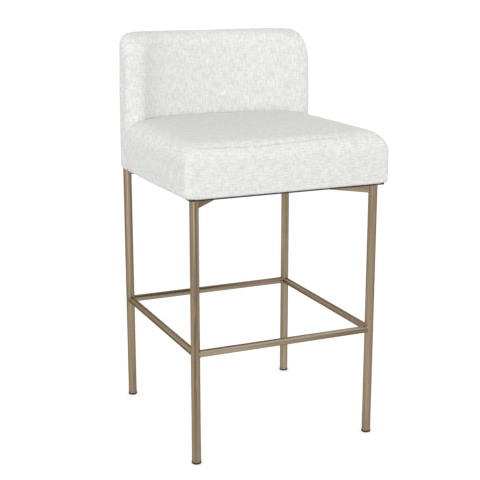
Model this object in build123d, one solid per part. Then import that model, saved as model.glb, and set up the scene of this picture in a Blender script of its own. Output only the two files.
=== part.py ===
from build123d import *
import math
import os

# Bar stool: steel tube frame with a footrest, upholstered seat and a low back that wraps round the sitter.
# Millimetres. The origin is on the floor under the centre of the upholstery's outline.
# +Z is up, -Y is the front, +X is to the right as seen from the front.

# Steel frame; heights are from the floor
leg_spacing_x = 430.0
leg_spacing_y = 445.0
leg_diameter = 20.0
leg_wall = 1.5
frame_height = 596.0
leg_disc_thickness = 3.0
rung_diameter = 16.0
rung_wall = 1.2
rung_height = 254.0
brace_height = 21.0
brace_width = 12.0
brace_wall = 1.5
weld_gap = 0.1
slip_clearance = 0.1

# Floor glides
glide_pad_height = 4.0
glide_pad_diameter = 22.0
glide_pad_chamfer = 0.8
glide_stem_diameter = 15.0
glide_stem_length = 18.0
glide_rib_count = 3
glide_rib_width = 1.5

# Outline of the upholstery, measured outwards from the leg axes
side_overhang = 25.0
front_overhang = 25.0
rear_overhang = 46.0
front_corner_radius = 12.0
rear_corner_radius = 92.0

# Layers of the upholstery
cover_thickness = 1.5
wadding_thickness = 5.0
layer_clearance = 0.2
cover_turn_under = 32.0

# Boards under the seat
base_board_thickness = 4.0
base_board_side_inset = 8.0
base_board_front_inset = 3.0
deck_thickness = 15.0

# Seat, measured up from the upholstery's lower edge
seat_edge_rise = 113.5
seat_crown = 4.0
seat_crown_lengthwise = 5.0
seat_side_round = 40.0
seat_front_round = 38.0
seat_round_outset = 0.5
seat_to_back_gap = 0.5

# Back, measured up from the upholstery's lower edge and in from its outline
back_rise = 314.0
back_depth = 136.0
back_middle_thickness = 53.5
back_end_width = 40.0
back_wrap_radius = 160.0
back_wrap_start = 14.0
back_outer_edge_round = 16.5
back_inner_edge_round = 22.0
back_end_top_round = 72.0

# Largest share of the back's end width for both edge rounds; over 1, as the inner corner is blunt
round_share = 1.15

# Back frame
back_foam_thickness = 12.0
back_end_foam = 13.5
skin_thickness = 3.0
rib_thickness = 15.0
post_width = 22.0
rear_post_depth = 14.0
wing_post_depth = 11.0
rear_post_spacing = 110.0
wing_post_setback = 16.0

# Fasteners
bolt_from_leg = 140.0
bolt_diameter = 6.0
bolt_tip_setback = 3.0
bolt_head_width = 10.0
bolt_head_height = 4.0
bolt_hole_clearance = 0.3
washer_diameter = 12.0
washer_thickness = 1.6
tee_nut_flange_diameter = 19.0
tee_nut_flange_thickness = 1.5
tee_nut_barrel_diameter = 7.8
tee_nut_barrel_length = 10.0
base_screw_diameter = 3.5
base_screw_length = 14.0
base_screw_head_diameter = 7.0
base_screw_head_height = 2.2
base_screw_inset = 40.0
base_screw_spacing_x = 110.0
base_screw_spacing_y = 90.0
rib_screw_diameter = 4.0
rib_screw_length = 26.0
rib_screw_head_diameter = 8.0
rib_screw_head_height = 2.4
rib_screw_spacing = 70.0

# How far a cut runs past the face it opens, and how near two places count as one
cut_over = 1.0
same_place = 1e-3

# Places that follow from the sizes above
half_width = leg_spacing_x / 2 + side_overhang
half_depth = (leg_spacing_y + front_overhang + rear_overhang) / 2
leg_front_y = front_overhang - half_depth
leg_rear_y = half_depth - rear_overhang
leg_places = {
    "front_left": (-leg_spacing_x / 2, leg_front_y),
    "front_right": (leg_spacing_x / 2, leg_front_y),
    "rear_left": (-leg_spacing_x / 2, leg_rear_y),
    "rear_right": (leg_spacing_x / 2, leg_rear_y),
}
frame_centre = (0.0, (leg_front_y + leg_rear_y) / 2)
brace_level = frame_height - brace_height / 2
brace_bottom = frame_height - brace_height
upholstery_bottom = frame_height + base_board_thickness
deck_bottom = upholstery_bottom + cover_thickness
deck_top = deck_bottom + deck_thickness
wadding_inset = cover_thickness + layer_clearance
foam_inset = wadding_inset + wadding_thickness + layer_clearance
deck_inset = foam_inset
back_top = upholstery_bottom + back_rise
back_end_y = half_depth - back_depth
back_frame_inset = foam_inset + back_end_foam
back_frame_top = back_top - back_frame_inset
bolt_hole_diameter = bolt_diameter + 2 * bolt_hole_clearance
bolt_bore_diameter = bolt_diameter + 2 * slip_clearance

parts = {}


def rod(start, end, diameter):
    """Round bar between two points."""
    axis = Vector(end) - Vector(start)
    return extrude(Plane(origin=start, z_dir=axis) * Circle(diameter / 2), axis.length)


def tube(start, end, diameter, wall):
    """Round tube between two points."""
    return rod(start, end, diameter) - rod(start, end, diameter - 2 * wall)


def upright(place, bottom, top, diameter):
    """Vertical round bar at a plan position."""
    return rod((*place, bottom), (*place, top), diameter)


def rectangular_bar(start, end, height, width):
    """Bar of rectangular section between two points at one level."""
    axis = Vector(end) - Vector(start)
    plane = Plane(origin=start, x_dir=(0, 0, 1), z_dir=axis)
    return extrude(plane * Rectangle(height, width), axis.length)


def prism(face, bottom, top):
    """A plan outline raised from one level to another."""
    return extrude(Pos(0, 0, bottom) * face, top - bottom, dir=(0, 0, 1))


def arc(centre, radius, start, end):
    """Arc in plan; angles are in degrees from +Y towards +X."""
    points = []
    for angle in (start, (start + end) / 2, end):
        turn = math.radians(angle)
        points.append((centre[0] + radius * math.sin(turn), centre[1] + radius * math.cos(turn)))
    return ThreePointArc(*points)


def group(solids):
    """Several equal pieces kept in one node."""
    return Compound(children=list(solids))


def leg_axis(name):
    """Solid cylinder of a leg's outside, with the root gap of its welds, for coping what meets it."""
    return upright(leg_places[name], 0, frame_height + cut_over, leg_diameter + 2 * weld_gap)


def bolt_places():
    """Plan positions of the seat bolts, one on each arm of the braces."""
    places = []
    for x, y in leg_places.values():
        share = bolt_from_leg / math.hypot(frame_centre[0] - x, frame_centre[1] - y)
        places.append((x + (frame_centre[0] - x) * share, y + (frame_centre[1] - y) * share))
    return places


def base_screw_places():
    """Plan positions of the screws round the edge of the base board."""
    places = []
    for side in (-1, 1):
        for end in (-1, 1):
            places.append((side * base_screw_spacing_x, end * (half_depth - base_screw_inset)))
            places.append((side * (half_width - base_screw_inset), end * base_screw_spacing_y))
    return places


def post_lines():
    """Middle lines of the back frame's rear and wing posts: y of the rear ones, x and y of the wing ones."""
    frame_side = foam_inset + skin_thickness + slip_clearance
    rear_y = half_depth - frame_side - rear_post_depth / 2
    wing_x = half_width - frame_side - wing_post_depth / 2
    wing_y = back_end_y + back_frame_inset + wing_post_setback
    return rear_y, wing_x, wing_y


def rib_screw_places():
    """Plan positions of the screws up into the bottom rib: three along the rear and one in each wing."""
    rear_y, wing_x, wing_y = post_lines()
    rear = [(step * rib_screw_spacing, rear_y) for step in (-1, 0, 1)]
    return rear + [(-wing_x, wing_y), (wing_x, wing_y)]


def full_outline(inset, front_inset=None):
    """Plan of the whole upholstery, moved inwards; the front edge can move by an amount of its own."""
    right = half_width - inset
    front = -half_depth + (inset if front_inset is None else front_inset)
    rear = half_depth - inset
    corner = rear_corner_radius - inset
    outline = make_face([
        Line((-right, front), (right, front)),
        Line((right, front), (right, rear - corner)),
        arc((right - corner, rear - corner), corner, 90, 0),
        Line((right - corner, rear), (corner - right, rear)),
        arc((corner - right, rear - corner), corner, 0, -90),
        Line((-right, rear - corner), (-right, front)),
    ])
    if front_corner_radius > inset:
        corners = outline.vertices().group_by(Axis.Y)[0]
        outline = fillet(corners, front_corner_radius - inset)
    return outline


def bow(inset):
    """Plan of the space that the back wraps round, widened into the back by an inset, and open to the front.

    A wide arc across the middle runs into a tighter arc at each side. The wide radius follows from the
    thickness of the back in its middle and the width of its ends.
    """
    middle_y = half_depth - back_middle_thickness
    end_x = half_width - back_end_width
    sine = math.sin(math.radians(back_wrap_start))
    drop = 1 - math.cos(math.radians(back_wrap_start))
    lead = back_end_y - middle_y + back_wrap_radius
    middle_term = end_x * sine - lead * drop
    last_term = 2 * drop * (end_x**2 + lead**2 - back_wrap_radius**2)
    step = (middle_term - math.sqrt(middle_term**2 - last_term)) / (2 * drop)
    wrap_x = step * sine
    wrap_y = middle_y - back_wrap_radius - step * drop
    wrap = back_wrap_radius + inset
    wide = back_wrap_radius + step + inset
    wide_centre = (0.0, middle_y - back_wrap_radius - step)
    side_x = wrap_x + wrap
    front = -2 * half_depth
    return make_face([
        arc((wrap_x, wrap_y), wrap, 90, back_wrap_start),
        arc(wide_centre, wide, back_wrap_start, -back_wrap_start),
        arc((-wrap_x, wrap_y), wrap, -back_wrap_start, -90),
        Line((-side_x, wrap_y), (-side_x, front)),
        Line((-side_x, front), (side_x, front)),
        Line((side_x, front), (side_x, wrap_y)),
    ])


def ahead_of(y):
    """Plan of everything in front of a line across the stool."""
    return Pos(0, y) * Rectangle(4 * half_width, 4 * half_depth, align=(Align.CENTER, Align.MAX))


def back_plan(outer_inset, inner_inset, end_inset):
    """Plan of the back, with its outer side, inner side and ends moved inwards by different amounts."""
    return full_outline(outer_inset) - bow(inner_inset) - ahead_of(back_end_y + end_inset)


def back_profile(inset, bottom):
    """Side view of the back as a block across the stool: its ends slope over towards the top."""
    low = (back_end_y + inset, bottom)
    side = Pos(*low) * Rectangle(2 * back_depth, back_top - inset - bottom, align=(Align.MIN, Align.MIN))
    corner = side.vertices().group_by(Axis.Y)[-1].sort_by(Axis.X)[0]
    side = fillet(corner, back_end_top_round - inset)
    return extrude(Plane.YZ * side, 2 * half_width, both=True)


def back_envelope(inset, bottom):
    """Outer form of the back, moved inwards all round, with its top and end edges rounded."""
    body = prism(back_plan(inset, inset, -cut_over), bottom - cut_over, back_top + cut_over)
    body &= back_profile(inset, bottom)
    end_y = back_end_y + inset
    top = back_top - inset
    round_y = back_end_y + back_end_top_round
    round_z = back_top - back_end_top_round

    def off_profile(point):
        """Distance of a point from the end face, the top face and the round between them."""
        if point.Y < round_y and point.Z > round_z:
            return abs(math.hypot(point.Y - round_y, point.Z - round_z) - back_end_top_round + inset)
        return min(abs(point.Y - end_y), abs(point.Z - top))

    def rims(plan):
        """Edges of the top and the ends that run along the line of a plan."""
        line = plan.wires()[0]
        found = []
        for edge in body.edges():
            points = [edge @ share for share in (0.1, 0.5, 0.9)]
            on_profile = all(off_profile(point) < same_place for point in points)
            on_line = all(line.distance_to((point.X, point.Y, 0)) < same_place for point in points)
            if on_profile and on_line and edge.center().Z > bottom + same_place:
                found.append(edge)
        return found

    fit = min(1, round_share * back_end_width / (back_outer_edge_round + back_inner_edge_round))
    body = fillet(rims(full_outline(inset)), fit * back_outer_edge_round - inset)
    return fillet(rims(bow(inset)), fit * back_inner_edge_round - inset)


def seat_envelope(inset, bottom):
    """Outer form of the seat, moved inwards all round: crowned top, and rolled sides and front."""
    right = half_width - inset + seat_round_outset
    front = -half_depth + inset - seat_round_outset
    edge = upholstery_bottom + seat_edge_rise - inset
    crown = edge + seat_crown
    ridge = edge + seat_crown_lengthwise
    across = make_face([
        Line((-right, bottom), (right, bottom)),
        Line((right, bottom), (right, edge)),
        ThreePointArc((right, edge), (0, crown), (-right, edge)),
        Line((-right, edge), (-right, bottom)),
    ])
    across = fillet(across.vertices().group_by(Axis.Y)[-1], seat_side_round - inset)
    along = make_face([
        Line((front, bottom), (half_depth, bottom)),
        Line((half_depth, bottom), (half_depth, edge)),
        ThreePointArc((half_depth, edge), ((front + half_depth) / 2, ridge), (front, edge)),
        Line((front, edge), (front, bottom)),
    ])
    along = fillet(along.vertices().group_by(Axis.Y)[-1].sort_by(Axis.X)[0], seat_front_round - inset)
    gap = seat_to_back_gap + inset
    plan = full_outline(inset) & (ahead_of(back_end_y - gap) + bow(-gap))
    body = prism(plan, bottom, crown + cut_over)
    body &= extrude(Plane.XZ * across, 2 * half_depth, both=True)
    body &= extrude(Plane.YZ * along, 2 * half_width, both=True)
    return body


def make_frame():
    """Legs, leg discs, rungs and braces."""
    for name, place in leg_places.items():
        ends = [(*place, level) for level in (glide_pad_height, frame_height)]
        parts[f"leg_{name}"] = tube(*ends, leg_diameter, leg_wall)
    disc_diameter = leg_diameter - 2 * leg_wall - 2 * slip_clearance
    parts["leg_top_discs"] = group(
        upright(place, frame_height - leg_disc_thickness, frame_height, disc_diameter)
        for place in leg_places.values()
    )
    make_rungs()
    make_braces()


def make_rungs():
    """Rungs coped to the legs; the side ones are also coped to the front and rear ones beside them."""
    rungs = {
        "rung_front_footrest": ("front_left", "front_right"),
        "rung_rear": ("rear_left", "rear_right"),
        "rung_left": ("front_left", "rear_left"),
        "rung_right": ("front_right", "rear_right"),
    }
    copes = []
    for name, legs in rungs.items():
        ends = [(*leg_places[leg], rung_height) for leg in legs]
        parts[name] = tube(*ends, rung_diameter, rung_wall) - [leg_axis(leg) for leg in legs]
        if name in ("rung_front_footrest", "rung_rear"):
            copes.append(rod(*ends, rung_diameter + 2 * weld_gap))
        else:
            parts[name] -= copes


def make_braces():
    """Braces on the leg diagonals: one runs through, and the halves of the other butt against it."""
    bolt_holes = [upright(place, 0, frame_height + cut_over, bolt_hole_diameter) for place in bolt_places()]

    def box_tube(start, end):
        outside = rectangular_bar(start, end, brace_height, brace_width)
        hollow = rectangular_bar(start, end, brace_height - 2 * brace_wall, brace_width - 2 * brace_wall)
        return outside, outside - hollow

    through = [(*leg_places[leg], brace_level) for leg in ("front_left", "rear_right")]
    outside, bar = box_tube(*through)
    parts["brace_long"] = bar - leg_axis("front_left") - leg_axis("rear_right") - bolt_holes
    for name in ("front_right", "rear_left"):
        bar = box_tube((*leg_places[name], brace_level), (*frame_centre, brace_level))[1]
        half = bar - outside - leg_axis(name) - bolt_holes
        parts[f"brace_{name}"] = half.solids().sort_by(SortBy.VOLUME)[-1]


def make_glides():
    """Push-in glides: a pad under the leg and a ribbed stem inside it."""
    rib_diameter = leg_diameter - 2 * leg_wall - 2 * slip_clearance
    rib_pitch = glide_stem_length / (glide_rib_count + 1)
    stem_top = glide_pad_height + glide_stem_length
    for name, place in leg_places.items():
        pad = upright(place, 0, glide_pad_height, glide_pad_diameter)
        pad = chamfer(pad.edges().group_by(Axis.Z)[0], glide_pad_chamfer)
        glide = pad + upright(place, glide_pad_height, stem_top, glide_stem_diameter)
        for number in range(1, glide_rib_count + 1):
            level = glide_pad_height + number * rib_pitch
            glide += upright(place, level, level + glide_rib_width, rib_diameter)
        parts[f"glide_{name}"] = glide


def rib_screw_head(place, clearance):
    """Countersunk head of a rib screw, flush with the deck's underside."""
    head = Cone(
        rib_screw_head_diameter / 2 + clearance,
        rib_screw_diameter / 2 + clearance,
        rib_screw_head_height,
        align=(Align.CENTER, Align.CENTER, Align.MIN),
    )
    return Pos(*place, deck_bottom) * head


def make_boards():
    """Black base board and plywood deck, with their holes."""
    nut_hole = tee_nut_barrel_diameter + 2 * slip_clearance
    screw_hole = base_screw_diameter + 2 * slip_clearance
    rib_hole = rib_screw_diameter + 2 * slip_clearance
    board_holes = []
    deck_holes = []
    for place in bolt_places():
        board_holes.append(upright(place, brace_bottom, deck_bottom, bolt_hole_diameter))
        deck_holes.append(upright(place, upholstery_bottom, deck_top + cut_over, nut_hole))
    for place in base_screw_places():
        tip = frame_height + base_screw_length + slip_clearance
        board_holes.append(upright(place, brace_bottom, deck_bottom, screw_hole))
        deck_holes.append(upright(place, upholstery_bottom, tip, screw_hole))
    for place in rib_screw_places():
        deck_holes.append(upright(place, upholstery_bottom, deck_top + cut_over, rib_hole))
        deck_holes.append(rib_screw_head(place, slip_clearance))
    outline = full_outline(base_board_side_inset, base_board_front_inset)
    parts["base_board"] = prism(outline, frame_height, upholstery_bottom) - board_holes
    parts["seat_deck"] = prism(full_outline(deck_inset), deck_bottom, deck_top) - deck_holes


def make_seat_fasteners():
    """Bolts, washers and tee nuts between the braces and the deck, and the base board's screws."""
    head_top = brace_bottom - washer_thickness
    flange_top = deck_top + tee_nut_flange_thickness
    hexagon = RegularPolygon(bolt_head_width / 2, 6, major_radius=False)
    bolts = []
    washers = []
    nuts = []
    for place in bolt_places():
        bore = upright(place, 0, flange_top + cut_over, bolt_bore_diameter)
        head = prism(Pos(*place) * hexagon, head_top - bolt_head_height, head_top)
        bolts.append(head + upright(place, head_top, deck_top - bolt_tip_setback, bolt_diameter))
        washers.append(upright(place, head_top, brace_bottom, washer_diameter) - bore)
        nut = upright(place, deck_top - tee_nut_barrel_length, deck_top, tee_nut_barrel_diameter)
        nut += upright(place, deck_top, flange_top, tee_nut_flange_diameter)
        nuts.append(nut - bore)
    parts["seat_bolts"] = group(bolts)
    parts["seat_bolt_washers"] = group(washers)
    parts["seat_tee_nuts"] = group(nuts)
    screws = []
    for place in base_screw_places():
        head = upright(place, frame_height - base_screw_head_height, frame_height, base_screw_head_diameter)
        head = fillet(head.edges().group_by(Axis.Z)[0], base_screw_head_height / 2)
        tip = frame_height + base_screw_length
        screws.append(head + upright(place, frame_height, tip, base_screw_diameter))
    parts["base_board_screws"] = group(screws)


def dress(name, envelope):
    """Cover and wadding over an upholstered form; the cover turns under the deck's edge."""
    inner_inset = foam_inset - layer_clearance
    deck_block = prism(full_outline(deck_inset - layer_clearance), deck_bottom - layer_clearance, deck_top)
    opening = prism(full_outline(cover_turn_under), frame_height, deck_bottom + cut_over)
    cover = envelope(0, upholstery_bottom) - envelope(cover_thickness, deck_bottom)
    wadding = envelope(wadding_inset, deck_bottom) - envelope(inner_inset, deck_bottom)
    parts[f"{name}_cover"] = cover - deck_block - opening
    parts[f"{name}_wadding"] = wadding - deck_block


def make_seat():
    """Foam block of the seat, with pockets for the tee nuts, and its wadding and cover."""
    pocket = tee_nut_flange_diameter + 2 * slip_clearance
    pocket_top = deck_top + tee_nut_flange_thickness + slip_clearance
    pockets = [upright(place, deck_bottom, pocket_top, pocket) for place in bolt_places()]
    parts["seat_foam"] = seat_envelope(foam_inset, deck_top) - pockets
    dress("seat", seat_envelope)


def frame_plan(outer, inner):
    """Plan of a layer of the back's frame, set in from the frame's outer and inner faces."""
    return back_plan(foam_inset + outer, foam_inset + back_foam_thickness + inner, 0)


def make_back_frame():
    """Ribs, posts, skins and screws of the back's frame, trimmed to its side view."""
    profile = back_profile(back_frame_inset, deck_bottom)
    rib_inset = skin_thickness + slip_clearance
    rib_plan = frame_plan(rib_inset, rib_inset)
    top_rib = back_frame_top - rib_thickness
    middle_rib = (deck_top + top_rib) / 2
    levels = {"back_rib_bottom": deck_top, "back_rib_middle": middle_rib, "back_rib_top": top_rib}
    for name, level in levels.items():
        parts[name] = prism(rib_plan, level, level + rib_thickness) & profile
    pilot = rib_screw_diameter + 2 * slip_clearance
    tip = deck_bottom + rib_screw_length
    screws = []
    for place in rib_screw_places():
        parts["back_rib_bottom"] -= upright(place, deck_bottom, tip + slip_clearance, pilot)
        shank = upright(place, deck_bottom + rib_screw_head_height, tip, rib_screw_diameter)
        screws.append(rib_screw_head(place, 0) + shank)
    parts["back_rib_screws"] = group(screws)

    rear_y, wing_x, wing_y = post_lines()
    rear_foot = Rectangle(post_width, rear_post_depth)
    wing_foot = Rectangle(wing_post_depth, post_width)
    feet = [Pos(step * rear_post_spacing, rear_y) * rear_foot for step in (-1, 0, 1)]
    feet += [Pos(side * wing_x, wing_y) * wing_foot for side in (-1, 1)]
    storeys = {
        "back_posts_lower": (deck_top + rib_thickness, middle_rib),
        "back_posts_upper": (middle_rib + rib_thickness, top_rib),
    }
    for name, (low, high) in storeys.items():
        parts[name] = group(prism(rib_plan & foot, low, high) & profile for foot in feet)

    inner = frame_plan(skin_thickness, 0) - frame_plan(0, skin_thickness)
    outer = frame_plan(0, 0) - frame_plan(skin_thickness, -back_foam_thickness)
    parts["back_inner_skin"] = prism(inner, deck_top, back_top) & profile
    parts["back_outer_skin"] = prism(outer, deck_top, back_top) & profile


def make_back():
    """Foam of the back, hollowed for its frame, and its wadding and cover."""
    hollow = prism(back_plan(0, foam_inset + back_foam_thickness, 0), deck_bottom, back_top)
    hollow &= back_profile(back_frame_inset, deck_bottom)
    parts["back_foam"] = back_envelope(foam_inset, deck_top) - hollow
    dress("back", back_envelope)


make_frame()
make_glides()
make_boards()
make_seat_fasteners()
make_seat()
make_back_frame()
make_back()

os.makedirs("parts", exist_ok=True)
for node, shape in parts.items():
    export_step(shape, f"parts/{node}.step")
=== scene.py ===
import math

import bpy
import numpy as np
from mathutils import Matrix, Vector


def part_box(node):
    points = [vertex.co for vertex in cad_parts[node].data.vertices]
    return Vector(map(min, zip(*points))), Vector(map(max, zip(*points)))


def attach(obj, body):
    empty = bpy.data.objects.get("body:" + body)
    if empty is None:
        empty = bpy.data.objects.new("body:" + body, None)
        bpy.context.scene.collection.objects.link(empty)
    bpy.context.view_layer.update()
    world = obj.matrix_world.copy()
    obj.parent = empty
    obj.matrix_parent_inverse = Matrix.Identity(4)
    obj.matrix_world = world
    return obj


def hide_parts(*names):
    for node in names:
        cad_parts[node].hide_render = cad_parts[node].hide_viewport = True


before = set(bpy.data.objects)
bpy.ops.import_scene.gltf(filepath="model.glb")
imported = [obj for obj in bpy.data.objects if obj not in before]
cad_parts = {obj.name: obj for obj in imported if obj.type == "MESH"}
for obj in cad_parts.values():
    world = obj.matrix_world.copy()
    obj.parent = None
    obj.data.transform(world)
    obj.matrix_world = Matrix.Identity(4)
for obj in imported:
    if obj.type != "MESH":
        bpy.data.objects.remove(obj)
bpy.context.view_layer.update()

import openvdb
from bpy.props import FloatProperty, FloatVectorProperty, IntProperty, PointerProperty
from mathutils import Vector

bl_info = {
    "name": "Upholstered Bar Stool Finish",
    "version": (1, 0, 0),
    "blender": (4, 5, 0),
    "location": "3D View > Sidebar > Stool",
    "description": "Linen upholstery, antique bronze tubes, welds and studio stage for a bar stool",
    "category": "Object",
}

SEAT_LOW, SEAT_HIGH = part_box("seat_cover")
BACK_LOW, BACK_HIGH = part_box("back_cover")
BODY = "root"
CORNERS = ("front_left", "front_right", "rear_left", "rear_right")

# Welds
BRACE_WIDTH = 0.012
BEAD_RADIUS = 0.0011
BEAD_RIPPLE = 0.14
RUNG_BEAD_STEPS = 64
BRACE_BEAD_STEPS = 14

# Forms of the covers: step for slopes, the back's least roll and crest, and its ends' reach into the seat
FORM_STEP = 0.0005
LEAST_ROLL = 0.004
TOP_CREST = 0.001
REAR_REACH = 0.02

# Filling: room round a form, width and drop of the held edges, and height of the still lower edge
LEAST_FILL, MOST_FILL = 0.0002, 0.0010
HELD_WIDTH = 0.012
HELD_DROP = 0.01
STILL_HEIGHT = 0.03

# Hanging lower edge: where the base board ends inside the cover, and the height and length that take part
BOARD_INSET_SIDE = 0.0065
BOARD_INSET_FRONT = 0.0025
HANG_HEIGHT = 0.02
HANG_RUN = 0.25

# Weave: how level or how forward a face must look, and offsets that keep the parts of the cloth apart
LEVEL_FACE = 0.72
FORWARD_FACE = 0.75
SIDE_CLOTH = 1.0
END_CLOTH = 3.0

# The seam's wander up and down, at places across the front
SEAM_PLACES = (-0.20, -0.14, -0.06, 0.01, 0.06, 0.11)
SEAM_WANDER = (0.0, -0.0017, -0.0028, -0.0004, 0.0016, 0.0022)

# Stage
LAMP_AIM = (0.0, 0.0, 0.6)
SENSOR_WIDTH = 36.0


def length(name, description, default):
    """A size in metres for a property group."""
    return FloatProperty(name=name, description=description, default=default, unit="LENGTH", precision=4)


def colour(name, description, default):
    """A linear colour for a property group."""
    return FloatVectorProperty(
        name=name, description=description, default=default, subtype="COLOR", size=3, min=0.0, max=1.0
    )


def share(name, description, default):
    """A part of one for a property group."""
    return FloatProperty(
        name=name, description=description, default=default, min=0.0, max=1.0, subtype="FACTOR"
    )


def level(name, description, default):
    """A brightness for a property group; 1 shows a white surface as white."""
    return FloatProperty(name=name, description=description, default=default, min=0.0, soft_max=2.0)


def point(name, description, default):
    """A place in metres for a property group."""
    return FloatVectorProperty(name=name, description=description, default=default, unit="LENGTH")


class StoolUpholstery(bpy.types.PropertyGroup):
    """Sizes of the seat and back covers."""

    half_width: length("Half Width", "Centre of the stool to the side of the covers", BACK_HIGH.x)
    half_depth: length("Half Depth", "Centre of the stool to the front or rear of the covers", BACK_HIGH.y)
    bottom: length("Lower Edge", "Height of the covers' lower edge", BACK_LOW.z)
    front_corner: length("Front Corner", "Softness of the seat's upright front corners", 0.016)
    front_corner_top: length("Front Corner Top", "Softness of these corners at the top", 0.030)
    front_corner_rise: length("Front Corner Rise", "Height over which these corners grow softer", 0.050)
    rear_corner: length("Rear Corner", "Radius of the back's upright rear corners", 0.092)
    lower_round: length("Lower Round", "Softness of the lower edge", 0.0015)
    seat_top: length("Seat Top", "Height of the seat at its crown", SEAT_HIGH.z)
    seat_crown: length("Seat Crown", "Rise of the seat's middle over its side edges", 0.0048)
    seat_crown_along: length("Lengthwise Crown", "Rise of the seat's middle over its front edge", 0.0052)
    seat_proud: length("Seat Proud", "How far the seat's padded sides stand out past the back", 0.003)
    seat_round: length("Seat Round", "Radius of the roll along the seat's sides and front", 0.040)
    seat_rear_round: length("Seat Rear Round", "Softness of the seat's edge against the back", 0.004)
    seat_gap: length("Seat Gap", "Room between the seat cover and the back cover", 0.0016)
    seat_dip: length("Seat Dip", "How far the seat falls where it runs up to the back", 0.0038)
    seat_dip_reach: length("Seat Dip Reach", "Length over which it falls", 0.060)
    seat_tuck: length("Seat Tuck", "How far the seat is tucked in behind the back's rounded ends", 0.005)
    back_end: length("Back End", "Place of the back's two ends along the stool", BACK_LOW.y)
    back_top: length("Back Top", "Height of the back", BACK_HIGH.z)
    back_middle: length("Back Middle", "Thickness of the back at its middle", 0.0535)
    back_end_width: length("Back End Width", "Width of the back's two ends", 0.040)
    back_wrap: length("Back Wrap", "Radius of the bends that wrap round the sitter", 0.160)
    back_wrap_start: FloatProperty(
        name="Wrap Start",
        description="Angle from the middle at which the bends start",
        default=math.radians(14),
        subtype="ANGLE",
    )
    back_outer_round: length("Back Outer Round", "Radius of the back's end edges on the outside", 0.0205)
    back_inner_round: length("Back Inner Round", "Radius of the back's end edges on the inside", 0.031)
    back_nose: length("Back Nose", "Softness of the crest between the outer and inner edges", 0.010)
    back_top_outer: length("Back Top Outer", "Radius of the back's top edge on the outside", 0.027)
    back_top_fall: length("Back Top Fall", "Height of the roll along the top edge on the inside", 0.036)
    back_top_depth: length("Back Top Depth", "Depth of the roll along the top edge on the inside", 0.040)
    back_top_reach: length("Back Top Reach", "Height over which the end edges grow into the top edge", 0.090)
    back_taper: length("Back Taper", "How far each side of the back leans in at the top", 0.0035)
    back_end_round: length("Back End Round", "Radius of the slope from the back's ends to its top", 0.072)
    mesh_size: length("Mesh Size", "Grid on which the covers are formed", 0.005)
    slack: length("Slack", "How far the covers are taken in before they are filled", 0.003)
    pressure: FloatProperty(name="Filling", description="Pressure of the filling", default=4.0)
    most_swell: length("Most Swell", "Farthest that the filling may push the cover out", 0.0045)
    frames: IntProperty(name="Frames", description="Steps of the filling", default=20)
    front_hang: length("Front Hang", "How far the lower edge hangs at the front", 0.0006)
    side_hang: length("Side Hang", "How far it hangs along the sides and the rear", 0.0055)
    unevenness: length("Unevenness", "Height of the soft waves in the filled covers", 0.0004)
    seam_height: length("Seam Height", "Height of the seam on the seat's front roll", 0.704)
    seam_depth: length("Seam Depth", "How far the seam draws the cover in", 0.0009)
    seam_width: length("Seam Width", "Width of the hollow along the seam", 0.0035)


class StoolFinish(bpy.types.PropertyGroup):
    """Colours of the stool's materials."""

    linen: colour("Linen", "Ivory of the upholstery yarn", (0.900, 0.906, 0.884))
    linen_shade: colour("Linen Shade", "Shaded yarn between the slubs", (0.640, 0.642, 0.610))
    yarn_pitch: length("Yarn Pitch", "Spacing of the upholstery's yarns", 0.0012)
    bronze: colour("Bronze", "Middle tone of the tubes", (0.298, 0.226, 0.150))
    bronze_dark: colour("Bronze Dark", "Dark streaks of the tubes", (0.145, 0.106, 0.070))
    bronze_pale: colour("Bronze Pale", "Rubbed, pale streaks of the tubes", (0.470, 0.385, 0.290))
    board: colour("Board", "Black of the board under the seat", (0.012, 0.012, 0.013))
    glide: colour("Glide", "Black of the floor glides", (0.014, 0.014, 0.014))
    zinc: colour("Zinc", "Plating of the bolts, washers and screws", (0.60, 0.62, 0.65))
    plywood: colour("Plywood", "Birch of the deck, ribs and posts", (0.62, 0.45, 0.28))
    hardboard: colour("Hardboard", "Brown of the back frame's skins", (0.26, 0.15, 0.075))
    foam: colour("Foam", "Cream of the seat and back foam", (0.80, 0.72, 0.50))


class StoolStage(bpy.types.PropertyGroup):
    """Camera, floor and light."""

    camera_place: point("Camera", "Place of the camera", (-1.0390, -2.3463, 1.0785))
    camera_target: point("Target", "Point that the camera looks at", (-0.01015, -0.00604, 0.4357))
    camera_lens: FloatProperty(name="Lens", description="Focal length in millimetres", default=83.34)
    floor_size: length("Floor Size", "Side of the floor", 60.0)
    floor: colour("Floor", "Colour of the pale floor", (0.60, 0.60, 0.60))
    floor_glow: share("Floor Glow", "How much the floor is brightened to white where it is seen", 0.55)
    sky_low: level("Sky Low", "Level of the soft light from the walls", 1.46)
    sky_high: level("Sky High", "Level of the soft light from the ceiling", 0.60)
    key_place: point("Key Light", "Place of the large front lamp", (-2.85, -4.95, 2.15))
    key_size: length("Key Size", "Side of the front lamp", 4.0)
    key_power: FloatProperty(name="Key Power", description="Power of the front lamp in watts", default=105.0)


def settings():
    """The three property groups of the scene."""
    scene = bpy.context.scene
    return scene.stool_upholstery, scene.stool_finish, scene.stool_stage


# Material building


def node(tree, kind, sockets=None, **values):
    """A shader node with its settings; sockets are set to a value or linked to another node's output."""
    made = tree.nodes.new(kind)
    for name, value in values.items():
        setattr(made, name, value)
    for name, value in (sockets or {}).items():
        if isinstance(value, bpy.types.NodeSocket):
            tree.links.new(value, made.inputs[name])
        else:
            made.inputs[name].default_value = value
    return made


def sums(tree, operation, first, second=0.0, clamp=False):
    """Output of a Math node."""
    made = node(tree, "ShaderNodeMath", {0: first, 1: second}, operation=operation, use_clamp=clamp)
    return made.outputs[0]


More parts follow.
